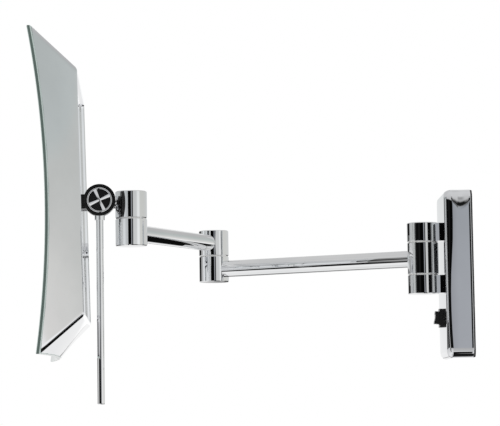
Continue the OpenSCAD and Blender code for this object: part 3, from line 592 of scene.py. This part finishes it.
def make_housing(look):
    """The pressed chrome housing: walls that flare from a rolled back edge to the glass."""

    def section(y, z, m, n, half, inset):
        """Point on the wall's line from the back edge to the rim at this half size."""
        grow = RIM_HALF / half
        rim = sphere_depth(y * grow, z * grow, GLASS_R + GLASS_T + GLASS_SEAT)
        share = (half - BACK_HALF) / (RIM_HALF - BACK_HALF)
        return (BACK_GAP + (rim - BACK_GAP) * share, y - m * inset, z - n * inset)

    def wall(half, inset=0.0):
        """One loop round the wall."""
        radius = WALL_CORNER - CORNER_TAPER * (half - BACK_HALF) / (RIM_HALF - BACK_HALF)
        path = corner(WALL_SOFT, radius, WALL_SOFT)
        return [section(*spot, half, inset) for spot in outline(half, half, path, path)]

    start = BACK_HALF + BACK_BEND
    halves = [start + (RIM_HALF - start) * i / WALL_SPANS for i in range(WALL_SPANS + 1)]
    outer = [wall(half) for half in halves[:-1]] + [wall(RIM_HALF - back, draw) for back, draw in RIM_EASE]
    inner = [wall(half, SHELL_T) for half in halves[:0:-1]]
    path = corner(WALL_SOFT, WALL_CORNER, WALL_SOFT)
    plate = BACK_GAP + PLATE_IN - FOOT_GAP
    middle = ((BACK_GAP + plate) / 2, -(LIP + LIP_FLAT + FOOT) / 2)
    bends = []
    for (x, y, z), (y0, z0, m, n) in zip(outer[0], outline(BACK_HALF, BACK_HALF, path, path)):
        track = curve((x, (y - y0) * m + (z - z0) * n), (BACK_GAP, 0.0), (BACK_GAP, -LIP), 7)
        track.append((BACK_GAP, -LIP - LIP_FLAT))
        track += curve(track[-1], (BACK_GAP + BEND_CONTROL[0], middle[1] + BEND_CONTROL[1]), middle, 4)
        track += curve(middle, (plate - BEND_CONTROL[0], middle[1] - BEND_CONTROL[1]), (plate, -FOOT), 4)
        bends.append([(depth, y0 + m * off, z0 + n * off) for depth, off in track])
    rolled = [list(loop) for loop in zip(*bends)]
    loops = [[on_head(*p) for p in loop] for loop in rolled[::-1] + outer + inner]
    points, faces = loft(loops, closed=True)
    build("housing", points, faces, "head", [look], ["mirror_housing"], crisp=50.0)


# ---------------------------------------------------------------- wall cover
# Millimetres in the row frame: the wall is x = 0.
COVER_HALF_Y, COVER_HALF_Z, COVER_D, COVER_T = 31.5, 61.5, 20.5, 1.5
COVER_CORNER, COVER_SOFT = 6.8, (1.0, 3.0)      # corner radius, and a plain corner's lead and tail
# The top corners' lead and tail, and how much the lead grows halfway from the wall to the face.
TOP_LEAD, TOP_TAIL, TOP_SWELL = (2.5, 4.0), (1.0, 4.0), (7.5, 8.0)
SWELL_FROM, SWELL_OVER = 0.5, COVER_D - 3.0
CROWN, CROWN_MORE, CROWN_FROM, CROWN_OVER = 1.9, 2.6, -14.0, 50.0
NOSE, NOSE_MORE, NOSE_FROM, NOSE_OVER = 3.2, 1.9, -30.0, 28.0
HEEL = 0.4                                      # radius of the small bend in at the wall
SOFT_TILT = 30                                  # degrees, where the side's easy curve meets the nose
# The cover's loops: turns at the heel, depths on the flat, then turns of the easy curve and of the nose.
HEEL_TURNS = (90, 70, 50, 30, 15, 0)
FLAT_DEPTHS = (-3.0, -5.0, -7.0, -9.0, -11.0)
SIDE_TURNS = (0, 3, 7, 12, 18, 24, SOFT_TILT)
FACE_TURNS = (38, 46, 55, 65, 75, 83, 90)
# The thin black band between the cover and the wall, which draws the dark line along the wall side: its
# thickness, corner radius and edges.
WALL_BAND_T, WALL_BAND_CORNER = 1.1, 6.4
WALL_BAND_OUTER, WALL_BAND_INNER = 0.45, 3.0              # how far in from the cover's sides
SWITCH_HALF_Y, SWITCH_HALF_Z, SWITCH_Z = 4.0, 5.65, -31.4
HOLE_CORNER, HOLE_SOFT, HOLE_PAST = 0.3, (0.1, 1.0), 1.0
# Depth and inset of the loops inside the cover, from its face to the wall.
COVER_INSIDE = ((-COVER_D + COVER_T, 5.2), (-COVER_D + COVER_T + 3.0, 2.6), (-WALL_BAND_T, COVER_T))


def crown(z):
    """How far the side's easy curve towards the face reaches at a height, more towards the top."""
    return CROWN + CROWN_MORE * ease((z - CROWN_FROM) / CROWN_OVER)


def nose(z):
    """Radius of the bend onto the face at a height, wider at the foot."""
    return NOSE + NOSE_MORE * ease((NOSE_FROM - z) / NOSE_OVER)


def switch_hole():
    """The closed skin that cuts the switch's hole through the face."""
    path = corner(HOLE_SOFT, HOLE_CORNER, HOLE_SOFT)
    cut = outline(SWITCH_HALF_Y, SWITCH_HALF_Z, path, path)
    ends = (-COVER_D - HOLE_PAST, -COVER_D + COVER_T + HOLE_PAST)
    loops = [[(x, y, z + SWITCH_Z) for y, z, _, _ in cut] for x in ends]
    return loft(loops, first_cap=True, last_cap=True)


def make_cover(look):
    """The chrome cover with its crowned sides, softly rounded face and the cut-out for the switch."""

    def ring(station):
        """One loop; station gives its depth and inset for a crown's reach d and a nose's radius r."""
        middle = station(crown(0.0), nose(0.0))[0]
        swell = math.sin(math.pi * min(1.0, max(0.0, (-middle - SWELL_FROM) / SWELL_OVER)))
        lead = [plain + more * swell for plain, more in zip(TOP_LEAD, TOP_SWELL)]
        top = corner(lead, COVER_CORNER, TOP_TAIL)
        bottom = corner(COVER_SOFT, COVER_CORNER, COVER_SOFT)
        loop = []
        for y, z, m, n in outline(COVER_HALF_Y, COVER_HALF_Z, top, bottom):
            depth, inset = station(crown(z), nose(z))
            loop.append((depth, y - m * inset, z - n * inset))
        return loop

    def level(depth, inset=0.0):
        """A loop at one depth, drawn in by the same distance all round."""
        return ring(lambda d, r: (depth, inset))

    def heel_bend(degrees):
        """The small bend in at the wall."""
        t = math.radians(degrees)
        return ring(lambda d, r: (-WALL_BAND_T - HEEL * (1 - math.sin(t)), HEEL * (1 - math.cos(t))))

    def side_bend(degrees):
        """The easy curve of the side, up to the soft tilt."""
        t = math.radians(degrees)
        return ring(lambda d, r: (-COVER_D + r / 2 + 2 * d * (0.5 - math.sin(t)),
                                  2 * d * (1 - math.cos(t))))

    def face_bend(degrees):
        """The nose's tight bend onto the face, from the soft tilt to a right angle."""
        t, soft = math.radians(degrees), math.cos(math.radians(SOFT_TILT))
        return ring(lambda d, r: (-COVER_D + r * (1 - math.sin(t)),
                                  2 * d * (1 - soft) + r * (soft - math.cos(t))))

    loops = [level(depth, inset) for depth, inset in COVER_INSIDE]
    loops += [heel_bend(turn) for turn in HEEL_TURNS]
    loops += [level(depth) for depth in FLAT_DEPTHS]
    loops += [side_bend(turn) for turn in SIDE_TURNS]
    loops += [face_bend(turn) for turn in FACE_TURNS]
    points, faces = loft(loops, first_cap=True, last_cap=True)
    cover = build("cover", points, faces, "wall_unit", [look], ["cover_shell"], crisp=40.0)
    pierce(cover, *switch_hole())


def make_cover_wall_band(look):
    """A thin black band in the rubber material between the cover and the wall, which draws the dark line
    along the wall side.
    """
    path = corner(COVER_SOFT, WALL_BAND_CORNER, COVER_SOFT)
    rim = outline(COVER_HALF_Y, COVER_HALF_Z, path, path)
    loops = [[(x, y - m * inset, z - n * inset) for y, z, m, n in rim]
             for x, inset in ((0.0, WALL_BAND_OUTER), (-WALL_BAND_T, WALL_BAND_OUTER), (-WALL_BAND_T, WALL_BAND_INNER),
                              (0.0, WALL_BAND_INNER))]
    points, faces = loft(loops, closed=True)
    build("cover_wall_band", points, faces, "wall_unit", [look])


# ---------------------------------------------------------------- screws and edges
SCREW_HIGH, SCREW_STEPS = 0.3, 32
# The screw's dome from its recess out: radius, and share of its height.
SCREW_DOME = ((0.05, 0.35), (0.55, 0.35), (0.75, 1.0), (1.2, 0.98), (1.8, 0.86), (2.3, 0.62), (2.6, 0.34),
              (2.75, 0.0), (2.7, -0.4))


def screw_spots():
    """The (y, z) of each back plate screw in the head's frame, from its CAD node."""
    found = {}
    for spot in node_points("back_plate_screws"):
        found.setdefault((spot.y > 0, spot.z > 0), []).append(spot)

    def middle(values):
        """Halfway between the lowest and the highest."""
        return (min(values) + max(values)) / 2

    return [(middle([p.y for p in group]), middle([p.z for p in group])) for group in found.values()]


def make_plate_screws(look):
    """Four low domed screws in the corners of the back plate."""
    points, faces = [], []
    dome = [(radius, share * SCREW_HIGH) for radius, share in SCREW_DOME]
    for y, z in screw_spots():
        def place(a, up, b):
            """A point of this screw's dome, up from the back plate."""
            return on_head(BACK_GAP + PLATE_IN - up, y + a, z + b)

        join(points, faces, *lathe(dome, place, SCREW_STEPS))
    build("plate_screws", points, faces, "head", [look], ["back_plate_screws"], crisp=45.0)


BARRELS = ("upper_lug", "lower_lug", "arm1_wall_knuckle", "arm1_elbow_knuckle", "arm2_elbow_knuckle",
           "arm2_head_knuckle", "swivel_knuckle")
BARREL_EDGE, BARREL_CREASE = 0.00045, 50        # metres and degrees


def soften_barrels():
    """Breaks the edges of the turned barrels, as plated parts have them."""
    for name in BARRELS:
        bevel = frame["nodes"][name].modifiers.new("edge", "BEVEL")
        bevel.width = BARREL_EDGE
        bevel.segments = 3
        bevel.limit_method = "ANGLE"
        bevel.angle_limit = math.radians(BARREL_CREASE)
        bevel.harden_normals = True


# ---------------------------------------------------------------- knob
RING_R, WIRE_R, WIRE_FLAT = 8.5, 0.62, 0.9      # the ring's wire is a little flatter than round
RING_STEPS, WIRE_STEPS = 96, 10
CROSS_TURN = -23.0                              # degrees
SPOKE = ((0.3, 0.7), (4.0, 1.0), (RING_R, 1.35))                # reach, half width
RIDGE = ((-1.0, 0.05), (-0.9, 0.35), (0.0, 0.95), (0.9, 0.35), (1.0, 0.05))  # across, share of the height


def make_knob_trim(look):
    """The chrome ring and ridged cross in the knob's face."""
    depths = [point.y for point in node_points("knob_trim")]
    low, high = min(depths), max(depths)
    loops = []
    for k in range(RING_STEPS):
        t = 2 * math.pi * k / RING_STEPS
        loop = []
        for j in range(WIRE_STEPS):
            u = 2 * math.pi * j / WIRE_STEPS
            r, rise = RING_R + WIRE_R * math.cos(u), WIRE_FLAT * WIRE_R * (1 + math.sin(u))
            loop.append(on_head(r * math.cos(t), low + rise, r * math.sin(t)))
        loops.append(loop)
    points, faces = loft(loops, closed=True)
    for spoke in range(4):
        turn = math.radians(90 * spoke + CROSS_TURN)
        c, s = math.cos(turn), math.sin(turn)
        bars = []
        for reach, half in SPOKE:
            bars.append([on_head(c * reach - s * half * across, low + up * (high - low),
                                 s * reach + c * half * across) for across, up in RIDGE])
        join(points, faces, *loft(bars, first_cap=True, last_cap=True))
    build("knob_ring", points, faces, "knob", [look], ["knob_trim"], crisp=25.0)


make_camera()
make_world()
make_floor()
make_key_light()
materials = {name: surface(name, **look) for name, look in LOOKS.items()}
dress_nodes(materials)
make_glass([materials[name] for name in ("mirror", "glass_edge", "glass_back", "frosted", "glass_pale")])
make_housing(materials["chrome_sheet"])
make_cover(materials["chrome_sheet"])
make_cover_wall_band(materials["rubber"])
make_plate_screws(materials["steel"])
make_knob_trim(materials["trim"])
soften_barrels()
